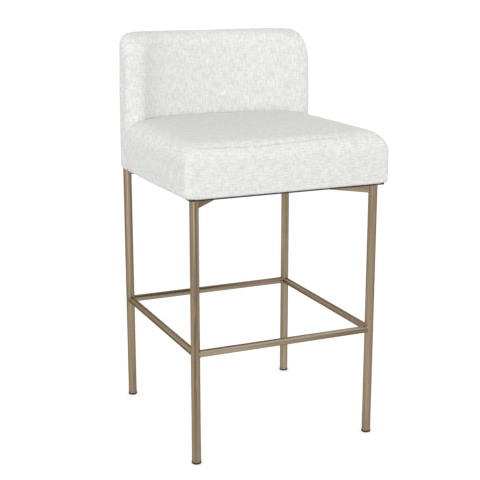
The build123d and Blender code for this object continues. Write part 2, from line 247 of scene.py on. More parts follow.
def spread(tree, value, span, start):
    """A value from 0 to 1 spread over a span from a start."""
    made = node(tree, "ShaderNodeMath", {0: value, 1: span, 2: start}, operation="MULTIPLY_ADD")
    return made.outputs[0]


def weigh(tree, *parts):
    """Sum of values, each times its weight."""
    total = None
    for value, weight in parts:
        part = sums(tree, "MULTIPLY", value, weight)
        total = part if total is None else sums(tree, "ADD", total, part)
    return total


def blend(tree, amount, first, second):
    """Colour between two colours or sockets."""
    made = node(tree, "ShaderNodeMix", data_type="RGBA")
    places = {"Factor_Float": amount, "A_Color": first, "B_Color": second}
    for socket in made.inputs:
        value = places.get(socket.identifier)
        if isinstance(value, bpy.types.NodeSocket):
            tree.links.new(value, socket)
        elif value is not None:
            socket.default_value = value
    return next(socket for socket in made.outputs if socket.identifier == "Result_Color")


def ramp(tree, value, low, high):
    """Value from 0 at low to 1 at high, with soft ends."""
    made = node(
        tree,
        "ShaderNodeMapRange",
        {"Value": value, "From Min": low, "From Max": high},
        interpolation_type="SMOOTHSTEP",
    )
    return made.outputs[0]


def streaks(tree, vector, scales, detail=3.0, rough=0.55):
    """Noise drawn out by different scales along each axis."""
    stretched = node(tree, "ShaderNodeVectorMath", {0: vector, 1: scales}, operation="MULTIPLY").outputs[0]
    sockets = {"Vector": stretched, "Scale": 1.0, "Detail": detail, "Roughness": rough}
    return node(tree, "ShaderNodeTexNoise", sockets).outputs[0]


def with_alpha(rgb):
    """Colour with full opacity."""
    return (*rgb, 1.0)


def wash(tree, base, amount, strength, rgb):
    """Colour washed over by another one, by an amount times a strength."""
    return blend(tree, sums(tree, "MULTIPLY", amount, strength), base, with_alpha(rgb))


def place_on_piece(tree):
    """Coordinates in metres that stay with the piece."""
    return node(tree, "ShaderNodeTexCoord").outputs["Object"]


def upward_look(tree):
    """How far a surface looks up, from -1 to 1."""
    facing = node(tree, "ShaderNodeNewGeometry").outputs["Normal"]
    return node(tree, "ShaderNodeSeparateXYZ", {0: facing}).outputs[2]


def new_material(name, **shader_values):
    """Empty material with a Principled shader; values are set on the shader's own sockets."""
    material = bpy.data.materials.new(name)
    material.use_nodes = True
    tree = material.node_tree
    shader = tree.nodes["Principled BSDF"]
    for socket, value in shader_values.items():
        shader.inputs[socket.replace("_", " ").title().replace("Ior", "IOR")].default_value = value
    return material, tree, shader


def finish_surface(tree, shader, base, height, distance, strength, rough=None):
    """Colour, a bump from a height between 0 and 1, and an uneven roughness if there is one."""
    tree.links.new(base, shader.inputs["Base Color"])
    if rough is not None:
        tree.links.new(rough, shader.inputs["Roughness"])
    sockets = {"Height": height, "Distance": distance, "Strength": strength}
    bump = node(tree, "ShaderNodeBump", sockets)
    tree.links.new(bump.outputs[0], shader.inputs["Normal"])


def slub_linen(name, across, upright, seam_shaded=False):
    """Plain linen weave with thick and thin yarns; across and upright weigh the slubs both ways.

    With the last argument set, the cloth gets painted shade along its seam, in stitch-length dashes, where
    the piece's seam attribute, the distance from the seam, is near zero.
    """
    finish = settings()[1]
    material, tree, shader = new_material(
        name,
        roughness=0.9,
        sheen_weight=0.06,
        sheen_roughness=0.5,
        sheen_tint=(0.93, 0.92, 0.86, 1.0),
        specular_ior_level=0.2,
    )
    cloth = node(tree, "ShaderNodeUVMap", uv_map="cloth").outputs[0]
    waves = streaks(tree, cloth, (90.0, 90.0, 0.0), 2.0)
    sway = sums(tree, "MULTIPLY", sums(tree, "SUBTRACT", waves, 0.5), 0.0016)
    split = node(tree, "ShaderNodeSeparateXYZ", {0: cloth}).outputs
    turn = math.pi / finish.yarn_pitch
    warp = sums(tree, "SINE", sums(tree, "MULTIPLY", sums(tree, "ADD", split[0], sway), turn))
    weft = sums(tree, "SINE", sums(tree, "MULTIPLY", sums(tree, "ADD", split[1], sway), turn))
    crossing = sums(tree, "MULTIPLY", warp, weft)
    yarns = sums(tree, "ABSOLUTE", crossing)
    over = ramp(tree, crossing, -0.3, 0.3)

    slubs = []
    lies = (((90.0, 680.0), (48.0, 330.0), across), ((680.0, 90.0), (330.0, 48.0), upright))
    for fine, wide, weight in lies:
        thin = streaks(tree, cloth, (*fine, 0.0), 2.0)
        thick = streaks(tree, cloth, (*wide, 0.0), 2.0)
        slubs.append((sums(tree, "ADD", thin, thick), weight))
    slub = sums(tree, "DIVIDE", weigh(tree, *slubs), 2.0 * (across + upright))
    slub = ramp(tree, slub, 0.42, 0.58)
    fibres = streaks(tree, cloth, (2600.0, 2600.0, 0.0), 2.0)
    cloudy = streaks(tree, cloth, (22.0, 22.0, 0.0), 3.0)

    tone = weigh(tree, (slub, 0.62), (yarns, 0.16), (over, 0.06), (fibres, 0.10), (cloudy, 0.16))
    tone = sums(tree, "MULTIPLY", tone, 1.0, True)
    base = blend(tree, tone, with_alpha(finish.linen_shade), with_alpha(finish.linen))
    height = weigh(tree, (yarns, 0.40), (slub, 0.45), (fibres, 0.15))
    if seam_shaded:
        # Painted shade in the seam's drawn-in crease, in stitch-length dashes, on the middle of the front.
        off_seam = node(tree, "ShaderNodeAttribute", attribute_name="seam").outputs["Fac"]
        stitches = streaks(tree, cloth, (140.0, 0.0, 0.0), 2.0)
        line = ramp(tree, sums(tree, "ABSOLUTE", off_seam), 0.0016, 0.0003)
        line = sums(tree, "MULTIPLY", line, ramp(tree, stitches, 0.36, 0.56))
        line = sums(tree, "MULTIPLY", line, ramp(tree, split[0], 0.17, 0.08))
        line = sums(tree, "MULTIPLY", line, ramp(tree, split[0], -0.215, -0.19))
        base = wash(tree, base, line, 0.4, (0.30, 0.285, 0.24))
        height = sums(tree, "SUBTRACT", height, sums(tree, "MULTIPLY", line, 0.8))
    finish_surface(tree, shader, base, height, 0.0007, 0.7)
    return material


def antique_bronze(name, along, wear_and_glint_top=0.0):
    """Brushed antique bronze whose streaks run along a direction; the last argument washes the upper side
    pale, as rubbed wear on the rungs and as a painted highlight on the weld beads.
    """
    finish = settings()[1]
    material, tree, shader = new_material(name, metallic=1.0, specular_tint=(0.25, 0.21, 0.17, 1.0))
    place = place_on_piece(tree)
    turn = Vector((0, 0, 1)).rotation_difference(Vector(along).normalized()).inverted().to_euler()
    lie = node(tree, "ShaderNodeMapping", {"Vector": place, "Rotation": turn}).outputs[0]
    brushed = streaks(tree, lie, (420.0, 420.0, 5.0), 4.0, 0.6)
    bands = streaks(tree, lie, (150.0, 150.0, 1.6), 2.0)
    stain = streaks(tree, lie, (45.0, 45.0, 10.0), 4.0)
    grain = streaks(tree, lie, (2600.0, 2600.0, 260.0), 2.0)

    tone = weigh(tree, (brushed, 0.50), (bands, 0.50))
    dark = ramp(tree, tone, 0.52, 0.34)
    pale = ramp(tree, tone, 0.50, 0.68)
    base = blend(tree, dark, with_alpha(finish.bronze), with_alpha(finish.bronze_dark))
    base = wash(tree, base, pale, 0.85, finish.bronze_pale)
    olive = (0.215, 0.195, 0.120)
    base = wash(tree, base, ramp(tree, stain, 0.46, 0.72), 0.45, olive)
    pink = (0.330, 0.215, 0.150)
    base = wash(tree, base, ramp(tree, stain, 0.48, 0.30), 0.55, pink)
    # Upper side washed pale: rubbed wear on the footrest and side rungs, and a painted highlight for glints
    # on the weld beads.
    if wear_and_glint_top:
        upper = ramp(tree, upward_look(tree), 0.30, 0.85)
        lightened = sums(tree, "MULTIPLY", upper, ramp(tree, brushed, 0.28, 0.55))
        base = wash(tree, base, lightened, wear_and_glint_top, (0.56, 0.47, 0.38))
    height = weigh(tree, (brushed, 0.7), (grain, 0.3))
    finish_surface(tree, shader, base, height, 0.00012, 0.5, spread(tree, grain, 0.16, 0.30))
    return material


def black_board():
    """Thin board painted black, with the fibres showing through the paint."""
    material, tree, shader = new_material("black_board", roughness=0.6, specular_ior_level=0.35)
    place = place_on_piece(tree)
    fibres = streaks(tree, place, (900.0, 220.0, 900.0), 4.0)
    dust = streaks(tree, place, (45.0, 45.0, 45.0), 4.0)
    shown = ramp(tree, fibres, 0.35, 0.75)
    base = blend(tree, shown, with_alpha(settings()[1].board), (0.030, 0.029, 0.028, 1.0))
    base = wash(tree, base, ramp(tree, dust, 0.5, 0.8), 0.3, (0.055, 0.052, 0.047))
    finish_surface(tree, shader, base, fibres, 0.0003, 0.5)
    return material


def moulded_glide():
    """Black moulded plastic, scuffed where it slides on the floor."""
    material, tree, shader = new_material("moulded_glide", specular_ior_level=0.4)
    place = place_on_piece(tree)
    grain = streaks(tree, place, (1800.0, 1800.0, 1800.0), 3.0)
    scuffs = streaks(tree, place, (240.0, 900.0, 300.0), 3.0)
    height = node(tree, "ShaderNodeSeparateXYZ", {0: place}).outputs[2]
    low = ramp(tree, height, 0.0022, 0.0002)
    lightened = sums(tree, "MULTIPLY", ramp(tree, scuffs, 0.42, 0.66), low)
    base = blend(tree, grain, with_alpha(settings()[1].glide), (0.026, 0.026, 0.026, 1.0))
    base = wash(tree, base, lightened, 0.7, (0.16, 0.155, 0.15))
    finish_surface(tree, shader, base, grain, 0.0001, 0.5, spread(tree, lightened, 0.3, 0.42))
    return material


def zinc_plate():
    """Zinc-plated steel with a faint cloudy spangle."""
    material, tree, shader = new_material("zinc_plate", metallic=1.0)
    place = place_on_piece(tree)
    cells = node(tree, "ShaderNodeTexVoronoi", {"Vector": place, "Scale": 700.0}).outputs["Distance"]
    cloud = streaks(tree, place, (300.0, 300.0, 300.0), 3.0)
    base = blend(tree, cells, with_alpha(settings()[1].zinc), (0.42, 0.43, 0.45, 1.0))
    base = wash(tree, base, ramp(tree, cloud, 0.5, 0.75), 0.4, (0.55, 0.50, 0.38))
    finish_surface(tree, shader, base, cells, 0.0001, 0.4, spread(tree, cloud, 0.3, 0.18))
    return material


def birch_plywood():
    """Birch plywood: drawn-out grain on the faces, and glued plies along the edges."""
    material, tree, shader = new_material("birch_plywood", roughness=0.62)
    place = place_on_piece(tree)
    grain = streaks(tree, place, (30.0, 420.0, 30.0), 5.0)
    rings = streaks(tree, place, (8.0, 60.0, 8.0), 3.0)
    height = node(tree, "ShaderNodeSeparateXYZ", {0: place}).outputs[2]
    plies = sums(tree, "SINE", sums(tree, "MULTIPLY", height, math.tau / 0.003))
    edge = ramp(tree, sums(tree, "ABSOLUTE", upward_look(tree)), 0.8, 0.3)
    shown = ramp(tree, grain, 0.35, 0.7)
    base = blend(tree, shown, with_alpha(settings()[1].plywood), (0.50, 0.33, 0.18, 1.0))
    base = wash(tree, base, ramp(tree, rings, 0.45, 0.7), 0.4, (0.70, 0.53, 0.35))
    base = wash(tree, base, edge, ramp(tree, plies, 0.2, 0.8), (0.34, 0.21, 0.11))
    finish_surface(tree, shader, base, grain, 0.0003, 0.5)
    return material


def brown_hardboard():
    """Pressed fibre board, smooth and brown."""
    material, tree, shader = new_material("brown_hardboard", roughness=0.55)
    place = place_on_piece(tree)
    fibres = streaks(tree, place, (500.0, 500.0, 500.0), 5.0, 0.7)
    patches = streaks(tree, place, (30.0, 30.0, 30.0), 3.0)
    shown = ramp(tree, fibres, 0.35, 0.7)
    base = blend(tree, shown, with_alpha(settings()[1].hardboard), (0.34, 0.21, 0.11, 1.0))
    base = wash(tree, base, patches, 0.5, (0.20, 0.11, 0.055))
    finish_surface(tree, shader, base, fibres, 0.0002, 0.6)
    return material


def cut_foam():
    """Cut cushion foam with open cells."""
    material, tree, shader = new_material("cut_foam", roughness=0.95, specular_ior_level=0.15)
    place = place_on_piece(tree)
    cells = node(tree, "ShaderNodeTexVoronoi", {"Vector": place, "Scale": 900.0}).outputs["Distance"]
    yellowed = streaks(tree, place, (14.0, 14.0, 14.0), 3.0)
    base = blend(tree, ramp(tree, cells, 0.15, 0.65), with_alpha(settings()[1].foam), (0.62, 0.52, 0.32, 1.0))
    base = wash(tree, base, yellowed, 0.3, (0.78, 0.66, 0.40))
    finish_surface(tree, shader, base, cells, 0.0008, 0.8)
    return material


def dress(material, *names):
    """Gives CAD nodes their finish."""
    for name in names:
        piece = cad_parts[name]
        piece.data.materials.clear()
        piece.data.materials.append(material)


def new_piece(name, points, faces, material, slot):
    """Mesh object that rides on the stool."""
    mesh = bpy.data.meshes.new(name)
    mesh.from_pydata(np.asarray(points).tolist(), [], np.asarray(faces).tolist())
    mesh.validate()
    mesh.materials.append(material)
    mesh.shade_smooth()
    piece = bpy.data.objects.new(name, mesh)
    bpy.context.scene.collection.objects.link(piece)
    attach(piece, BODY)
    return piece


# Forms of the covers, as distances in metres: below zero inside, above zero outside


def both(first, second, radius):
    """What two forms have in common, with the edge between them rounded."""
    inside = np.minimum(np.maximum(first, second) + radius, 0)
    return inside + np.hypot(np.maximum(first + radius, 0), np.maximum(second + radius, 0)) - radius


def both_soft(first, second, width):
    """What two forms have in common, with a soft edge."""
    step = np.maximum(width - np.abs(first - second), 0) / width
    return np.maximum(first, second) + step * step * width / 4


def eased(low, high, way):
    """Value from low to high as the way goes from 0 to 1, with soft ends."""
    way = np.clip(way, 0, 1)
    return low + (high - low) * way * way * (3 - 2 * way)


def outline_form(x, y):
    """Plan of the back's outside."""
    sizes = settings()[0]
    return both(np.abs(x) - sizes.half_width, np.abs(y) - sizes.half_depth, sizes.rear_corner)


def bow_arcs():
    """Centre of the side bends, centre height of the wide bend, and radius of the wide bend."""
    sizes = settings()[0]
    middle_y = sizes.half_depth - sizes.back_middle
    end_x = sizes.half_width - sizes.back_end_width
    sine = math.sin(sizes.back_wrap_start)
    drop = 1 - math.cos(sizes.back_wrap_start)
    lead = sizes.back_end - middle_y + sizes.back_wrap
    middle_term = end_x * sine - lead * drop
    last_term = 2 * drop * (end_x**2 + lead**2 - sizes.back_wrap**2)
    step = (middle_term - math.sqrt(middle_term**2 - last_term)) / (2 * drop)
    side_centre = (step * sine, middle_y - sizes.back_wrap - step * drop)
    return side_centre, middle_y - sizes.back_wrap - step, sizes.back_wrap + step


def bow_form(x, y):
    """Plan of the space that the back wraps round."""
    sizes = settings()[0]
    (side_x, side_y), wide_y, wide = bow_arcs()
    aside = np.abs(x)
    in_middle = np.arctan2(aside, y - wide_y) < sizes.back_wrap_start
    middle = np.hypot(x, y - wide_y) - wide
    bend = np.hypot(aside - side_x, y - side_y) - sizes.back_wrap
    straight = aside - side_x - sizes.back_wrap
    return np.where(in_middle, middle, np.where(y > side_y, bend, straight))


def wrap_form(x, y, side, ahead, rise):
    """The back's outside and inside, rolled over where they meet a side view of its ends and top.

    Ahead is the forward share of the side view's direction. Rise goes from 0 on the ends to 1 on the top.
    """
    sizes = settings()[0]
    bow = bow_form(x, y)
    bow_ahead = (bow_form(x, y + FORM_STEP) - bow_form(x, y - FORM_STEP)) / (2 * FORM_STEP)
    blunt = (1 - np.sqrt(np.maximum(1 + ahead * bow_ahead, 0) / 2)) / (1 - math.sqrt(0.5))
    fall = eased(sizes.back_inner_round, sizes.back_top_fall, rise)
    depth = eased(sizes.back_inner_round, sizes.back_top_depth, rise)
    outer = both(outline_form(x, y), side, eased(sizes.back_outer_round, sizes.back_top_outer, rise))
    inner = both(-bow * fall / depth, side, np.maximum(fall * blunt, LEAST_ROLL))
    return both_soft(outer, inner, eased(sizes.back_nose, TOP_CREST, rise))


def back_form(x, y, z):
    """Form of the back: its plan, and the slope of its ends as seen from the side."""
    sizes = settings()[0]
    over_y = np.maximum(sizes.back_end + sizes.back_end_round - y, 0)
    over_z = np.maximum(z - sizes.back_top + sizes.back_end_round, 0)
    reach = np.hypot(over_y, over_z)
    inside = np.maximum(sizes.back_end - y, z - sizes.back_top)
    side = np.where((over_y > 0) & (over_z > 0), reach - sizes.back_end_round, inside)
    ahead = over_y / np.maximum(reach, 1e-6)
    rise = 1 + (z - sizes.back_top) / sizes.back_top_reach
    lean = eased(0.0, sizes.back_taper, (z - sizes.seat_top) / (sizes.back_top - sizes.seat_top))
    wrap = wrap_form(x * (1 + lean / sizes.half_width), y, side, ahead, rise)
    return both(wrap, sizes.bottom - z, sizes.lower_round)


def seat_form(x, y, z):
    """Form of the seat: crowned top, rolled edges, softening corners, and a rear that follows the back."""
    sizes = settings()[0]
    side = np.abs(x) - sizes.half_width - sizes.seat_proud
    front = -y - sizes.half_depth
    behind = np.minimum(y - sizes.back_end - sizes.seat_tuck, bow_form(x, y))
    beside = sizes.seat_gap - wrap_form(x, y, sizes.back_end - y, 1.0, 0.0)
    rear = np.where(behind > -REAR_REACH, np.maximum(behind, beside), behind)
    edge = sizes.seat_top - sizes.seat_crown
    across = sizes.seat_crown * (1 - (x / sizes.half_width) ** 2)
    along = sizes.seat_crown_along * (1 - (y / sizes.half_depth) ** 2)
    dip = eased(sizes.seat_dip, 0.0, (sizes.half_depth - sizes.back_middle - y) / sizes.seat_dip_reach)
    top = z - edge - np.minimum(across, along) + dip
    softness = eased(sizes.front_corner, sizes.front_corner_top, 1 + top / sizes.front_corner_rise)
    form = both(both_soft(side, front, softness), top, sizes.seat_round)
    form = both(form, rear, sizes.seat_rear_round)
    return both(form, sizes.bottom - z, sizes.lower_round)


def mesh_of_form(form, low, high, size, inset):
    """Points and four-sided faces of a form taken in by an inset."""
    margin = 4 * size
    lines = [np.arange(a - margin, b + margin, size) for a, b in zip(low, high)]
    values = form(*np.meshgrid(*lines, indexing="ij")) + inset
    grid = openvdb.FloatGrid(1.0)
    grid.copyFromArray(values)
    points, faces = grid.convertToQuads(0.0)
    corner = np.array([line[0] for line in lines])
    return corner + points * size, faces


def points_of(mesh):
    """Vertex positions of a mesh."""
    points = np.empty(len(mesh.vertices) * 3)
    mesh.vertices.foreach_get("co", points)
    return points.reshape(-1, 3)


def set_points(mesh, points):
    """Moves a mesh's vertices."""
    mesh.vertices.foreach_set("co", np.asarray(points, dtype=np.float32).ravel())
    mesh.update()


def normals_of(mesh):
    """Vertex normals of a mesh."""
    normals = np.empty(len(mesh.vertices) * 3, dtype=np.float32)
    mesh.vertex_normals.foreach_get("vector", normals)
    return normals.reshape(-1, 3).astype(float)


def slope(form, points):
    """Direction in which a form's distance grows fastest."""
    moves = np.eye(3) * FORM_STEP
    parts = [form(*(points + move).T) - form(*(points - move).T) for move in moves]
    direction = np.stack(parts, axis=1)
    return direction / np.maximum(np.linalg.norm(direction, axis=1, keepdims=True), 1e-9)


def fill_cover(piece, held):
    """Fills a cover by a short cloth simulation; held points stay where they are."""
    sizes = settings()[0]
    scene = bpy.context.scene
    before = points_of(piece.data)
    group = piece.vertex_groups.new(name="held")
    group.add(np.flatnonzero(held).tolist(), 1.0, "REPLACE")
    cloth = piece.modifiers.new("filling", "CLOTH")
    cloth.settings.quality = 4
    cloth.settings.mass = 0.35
    cloth.settings.tension_stiffness = 12.0
    cloth.settings.compression_stiffness = 12.0
    cloth.settings.shear_stiffness = 6.0
    cloth.settings.bending_stiffness = 2.0
    cloth.settings.use_pressure = True
    cloth.settings.uniform_pressure_force = sizes.pressure
    cloth.settings.effector_weights.gravity = 0.0
    cloth.settings.vertex_group_mass = "held"
    cloth.collision_settings.use_collision = False
    cloth.point_cache.frame_start = 1
    cloth.point_cache.frame_end = sizes.frames
    for number in range(1, sizes.frames + 1):
        scene.frame_set(number)
    swollen = piece.evaluated_get(bpy.context.evaluated_depsgraph_get())
    move = points_of(swollen.data) - before
    piece.modifiers.remove(cloth)
    piece.vertex_groups.remove(group)
    scene.frame_set(1)
    reach = np.maximum(np.linalg.norm(move, axis=1, keepdims=True), 1e-9)
    set_points(piece.data, before + move / reach * np.minimum(reach, sizes.most_swell))


def soft_waves(points):
    """Low waves left by hand-filled padding, between -1 and 1."""
    total = np.zeros(len(points))
    for number, direction in enumerate(((31, 17, 23), (-19, 37, 29), (43, -11, 53), (13, 61, -37))):
        total += np.sin(points @ np.array(direction, float) + 1.7 * number)
    return total / 4


def refine(piece):
    """Divides every face once and keeps the soft form."""
    halved = piece.modifiers.new("refine", "SUBSURF")
    halved.levels = 1
    halved.render_levels = 1
    depsgraph = bpy.context.evaluated_depsgraph_get()
    mesh = bpy.data.meshes.new_from_object(piece.evaluated_get(depsgraph))
    piece.modifiers.remove(halved)
    old = piece.data
    piece.data = mesh
    bpy.data.meshes.remove(old)


def relax(piece, form):
    """Keeps a filled cover a little outside the form that it was cut for."""
    points = points_of(piece.data)
    for _ in range(2):
        distance = form(*points.T)
        wanted = np.clip(distance, LEAST_FILL, MOST_FILL)
        points += slope(form, points) * (wanted - distance)[:, None]
    set_points(piece.data, points)


def hang_edge(piece):
    """Lets the lower edge hang round the base board, further down at the sides than at the front."""
    sizes = settings()[0]
    points = points_of(piece.data)
    x, y, z = points.T
    side = np.where(y > 0, outline_form(x, y), np.abs(x) - sizes.half_width)
    front = -y - sizes.half_depth
    near = np.clip(1 + np.maximum(side / BOARD_INSET_SIDE, front / BOARD_INSET_FRONT), 0, 1)
    hang = eased(sizes.front_hang, sizes.side_hang, (y + sizes.half_depth) / HANG_RUN)
    points[:, 2] -= hang * near * np.clip(1 - (z - sizes.bottom) / HANG_HEIGHT, 0, 1)
    set_points(piece.data, points)


def weave_map(piece, around):
    """Cloth coordinates in metres: plan on flat faces, and distance around by height on upright ones."""
    mesh = piece.data
    points = points_of(mesh)
    normals = np.empty(len(mesh.polygons) * 3, dtype=np.float32)
    mesh.polygons.foreach_get("normal", normals)
    normals = normals.reshape(-1, 3)
    corners = np.empty(len(mesh.loops), dtype=np.int32)
    mesh.loops.foreach_get("vertex_index", corners)
    sizes_of = np.empty(len(mesh.polygons), dtype=np.int32)
    mesh.polygons.foreach_get("loop_total", sizes_of)
    face_of = np.repeat(np.arange(len(mesh.polygons)), sizes_of)
    flat = np.abs(normals[:, 2]) > LEVEL_FACE
    upright = np.stack([around(points, normals[face_of], corners), points[corners, 2]], axis=1)
    places = np.where(flat[face_of][:, None], points[corners, :2], upright)
    layer = mesh.uv_layers.new(name="cloth")
    layer.data.foreach_set("uv", places.astype(np.float32).ravel())


def seat_around(points, normals, corners):
    """Distance across the front, or along the sides."""
    place = points[corners]
    ahead = np.abs(normals[:, 1]) > np.abs(normals[:, 0])
    return np.where(ahead, place[:, 0], place[:, 1] + SIDE_CLOTH)


def back_around(points, normals, corners):
    """Distance round the inside bow, across the ends, or round the outside."""
    sizes = settings()[0]
    (side_x, side_y), wide_y, wide = bow_arcs()
    place = points[corners]
    x, y = place[:, 0], place[:, 1]
    aside = np.abs(x)
    sign = np.sign(x)
    start = sizes.back_wrap_start
    turned = np.arctan2(aside, y - wide_y)
    bend = np.arctan2(aside - side_x, y - side_y)
    inside = np.where(turned < start, wide * turned, wide * start + sizes.back_wrap * (bend - start))
    corner = sizes.rear_corner
    centre_x, centre_y = sizes.half_width - corner, sizes.half_depth - corner
    swing = np.arctan2(np.maximum(aside - centre_x, 0), np.maximum(y - centre_y, 1e-6))
    outside = np.minimum(aside, centre_x) + corner * swing + np.maximum(centre_y - y, 0)
    nearer_inside = -bow_form(x, y) < np.abs(outline_form(x, y))
    ahead = (normals[:, 1] < -FORWARD_FACE) & (y < sizes.back_end + sizes.back_outer_round)
    along = np.where(nearer_inside, inside, outside + SIDE_CLOTH)
    return np.where(ahead, x + END_CLOTH, sign * along)


def make_cover(name, form, low, high, held, around, material, stands_for):
    """A filled, soft cover that stands for a CAD cover and its wadding."""
    sizes = settings()[0]
    inset = sizes.slack
    points, faces = mesh_of_form(form, low, high, sizes.mesh_size, inset)
    piece = new_piece(name, points, faces, material, "cover_fabric")
    fill_cover(piece, held(points_of(piece.data)))
    relax(piece, form)
    refine(piece)
    relax(piece, form)
    points = points_of(piece.data)
    free = np.clip((points[:, 2] - sizes.bottom) / STILL_HEIGHT, 0, 1)
    rise = soft_waves(points) * sizes.unevenness * free
    set_points(piece.data, points + normals_of(piece.data) * rise[:, None])
    hang_edge(piece)
    weave_map(piece, around)
    piece.data.shade_smooth()
    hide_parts(*stands_for)
    return piece


def draw_seam(piece, distance):
    """Draws a cover in along a seam, and marks how far from it each point lies, for the painted shade line
    along the seam.
    """
    sizes = settings()[0]
    points = points_of(piece.data)
    off = distance(points)
    pull = np.exp(-((off / sizes.seam_width) ** 2)) * sizes.seam_depth
    set_points(piece.data, points - normals_of(piece.data) * pull[:, None])
    mark = piece.data.attributes.new("seam", "FLOAT", "POINT")
    mark.data.foreach_set("value", off.astype(np.float32))


# Welds


def bead(path):
    """Points and faces of a closed weld bead that follows a path, with the ripples of its passes."""
    path = np.asarray(path)
    count, sides = len(path), 8
    ahead = np.roll(path, -1, axis=0) - np.roll(path, 1, axis=0)
    ahead /= np.linalg.norm(ahead, axis=1, keepdims=True)
    middle = path.mean(axis=0)
    out = path - middle
    out -= ahead * (out * ahead).sum(axis=1, keepdims=True)
    out /= np.linalg.norm(out, axis=1, keepdims=True)
    up = np.cross(ahead, out)
    turns = np.arange(sides) * math.tau / sides
    wave = 1 + BEAD_RIPPLE * np.sin(np.arange(count) * math.tau / 4)
    radius = (BEAD_RADIUS * wave)[:, None]
    rings = [path + (out * math.cos(turn) + up * math.sin(turn)) * radius for turn in turns]
    points = np.stack(rings, axis=1).reshape(-1, 3)
    faces = []
    for step in range(count):
        after = (step + 1) % count
        for side in range(sides):
            beside = (side + 1) % sides
            near, far = step * sides, after * sides
            faces.append((near + side, near + beside, far + beside, far + side))
    return points, faces


def join_meshes(meshes):
    """Several point and face lists as one."""
    points, faces, first = [], [], 0
    for some_points, some_faces in meshes:
        points.append(some_points)
        faces += [tuple(first + index for index in face) for face in some_faces]
        first += len(some_points)
    return np.concatenate(points), faces


def leg_centre(corner):
    """Plan position of a leg."""
    low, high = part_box(f"leg_{corner}")
    return (low + high) / 2


def rung_bead(leg, direction, rung_z, leg_radius, rung_radius):
    """Bead round the end of a rung, on the face of its leg."""
    direction = Vector(direction)
    across = Vector((-direction.y, direction.x, 0))
    path = []
    for step in range(RUNG_BEAD_STEPS):
        turn = step * math.tau / RUNG_BEAD_STEPS
        aside = rung_radius * math.sin(turn)
        out = math.sqrt(leg_radius**2 - min(aside, leg_radius) ** 2)
        on_axis = Vector((leg.x, leg.y, rung_z + rung_radius * math.cos(turn)))
        path.append(on_axis + direction * out + across * aside)
    return bead(path)


def brace_bead(start, direction, brace_z, height, out_at):
    """Bead round the end of a flat-sided brace."""
    direction = Vector(direction).normalized()
    across = Vector((-direction.y, direction.x, 0))
    corners = [(-1, -1), (1, -1), (1, 1), (-1, 1)]
    path = []
    for (a, b), (c, d) in zip(corners, corners[1:] + corners[:1]):
        for step in range(BRACE_BEAD_STEPS):
            mix = step / BRACE_BEAD_STEPS
            aside = (a + (c - a) * mix) * BRACE_WIDTH / 2
            rise = (b + (d - b) * mix) * height / 2
            on_axis = Vector((start.x, start.y, brace_z + rise))
            path.append(on_axis + direction * out_at(aside) + across * aside)
    return bead(path)


class STOOL_OT_frame_finish(bpy.types.Operator):
    """Antique bronze on the legs, rungs and braces, brushed along each tube"""

    bl_idname = "stool.frame_finish"
    bl_label = "Finish Frame"

    def execute(self, context):
        upright = antique_bronze("antique_bronze_legs", (0, 0, 1))
        sideways = antique_bronze("antique_bronze_rear_rung", (1, 0, 0))
        footrest = antique_bronze("antique_bronze_footrest", (1, 0, 0), 0.75)
        lengthwise = antique_bronze("antique_bronze_side_rungs", (0, 1, 0), 0.35)
        dress(upright, "leg_top_discs", *(f"leg_{corner}" for corner in CORNERS))
        dress(footrest, "rung_front_footrest")
        dress(sideways, "rung_rear")
        dress(lengthwise, "rung_left", "rung_right")
        reach = leg_centre("rear_right") - leg_centre("front_left")
        dress(antique_bronze("antique_bronze_long_brace", (reach.x, reach.y, 0)), "brace_long")
        short = antique_bronze("antique_bronze_short_braces", (-reach.x, reach.y, 0))
        dress(short, "brace_front_right", "brace_rear_left")
        return {"FINISHED"}


class STOOL_OT_welds(bpy.types.Operator):
    """Small rippled weld beads where the rungs and braces meet the legs"""

    bl_idname = "stool.welds"
    bl_label = "Add Welds"

    def execute(self, context):
        # Strong pale upper side on the weld beads: a painted highlight for glints.
        material = antique_bronze("antique_bronze_welds", (0, 0, 1), 0.9)
        low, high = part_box("leg_front_left")
        leg_radius = (high.x - low.x) / 2
        low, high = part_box("rung_front_footrest")
        rung_radius, rung_z = (high.z - low.z) / 2, (high.z + low.z) / 2
        beads = []
        for corner in CORNERS:
            leg = leg_centre(corner)
            inward_x = -math.copysign(1, leg.x)
            inward_y = -math.copysign(1, leg.y)
            beads.append(rung_bead(leg, (inward_x, 0, 0), rung_z, leg_radius, rung_radius))
            beads.append(rung_bead(leg, (0, inward_y, 0), rung_z, leg_radius, rung_radius))
        new_piece("rung_welds", *join_meshes(beads), material, "bronze_steel")

        def on_leg(aside):
            return math.sqrt(leg_radius**2 - aside**2)

        low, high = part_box("brace_long")
        height, brace_z = high.z - low.z, (high.z + low.z) / 2
        middle = (leg_centre("front_left") + leg_centre("rear_right")) / 2
        long_way = (leg_centre("rear_right") - leg_centre("front_left")).normalized()
        beads = []
        for corner in CORNERS:
            leg = leg_centre(corner)
            inward = (middle - leg) * Vector((1, 1, 0))
            beads.append(brace_bead(leg, inward, brace_z, height, on_leg))
        for corner in ("front_right", "rear_left"):
            outward = ((leg_centre(corner) - middle) * Vector((1, 1, 0))).normalized()
            across = Vector((-outward.y, outward.x, 0))
            lean = outward.dot(long_way) / across.dot(long_way)
            clear = BRACE_WIDTH / 2 / abs(outward.cross(long_way).z)
            beads.append(brace_bead(middle, outward, brace_z, height, lambda aside: clear + aside * lean))
        new_piece("brace_welds", *join_meshes(beads), material, "bronze_steel")
        return {"FINISHED"}


class STOOL_OT_glides(bpy.types.Operator):
    """Black moulded glides under the legs"""

    bl_idname = "stool.glides"
    bl_label = "Finish Glides"

    def execute(self, context):
        dress(moulded_glide(), *(f"glide_{corner}" for corner in CORNERS))
        return {"FINISHED"}


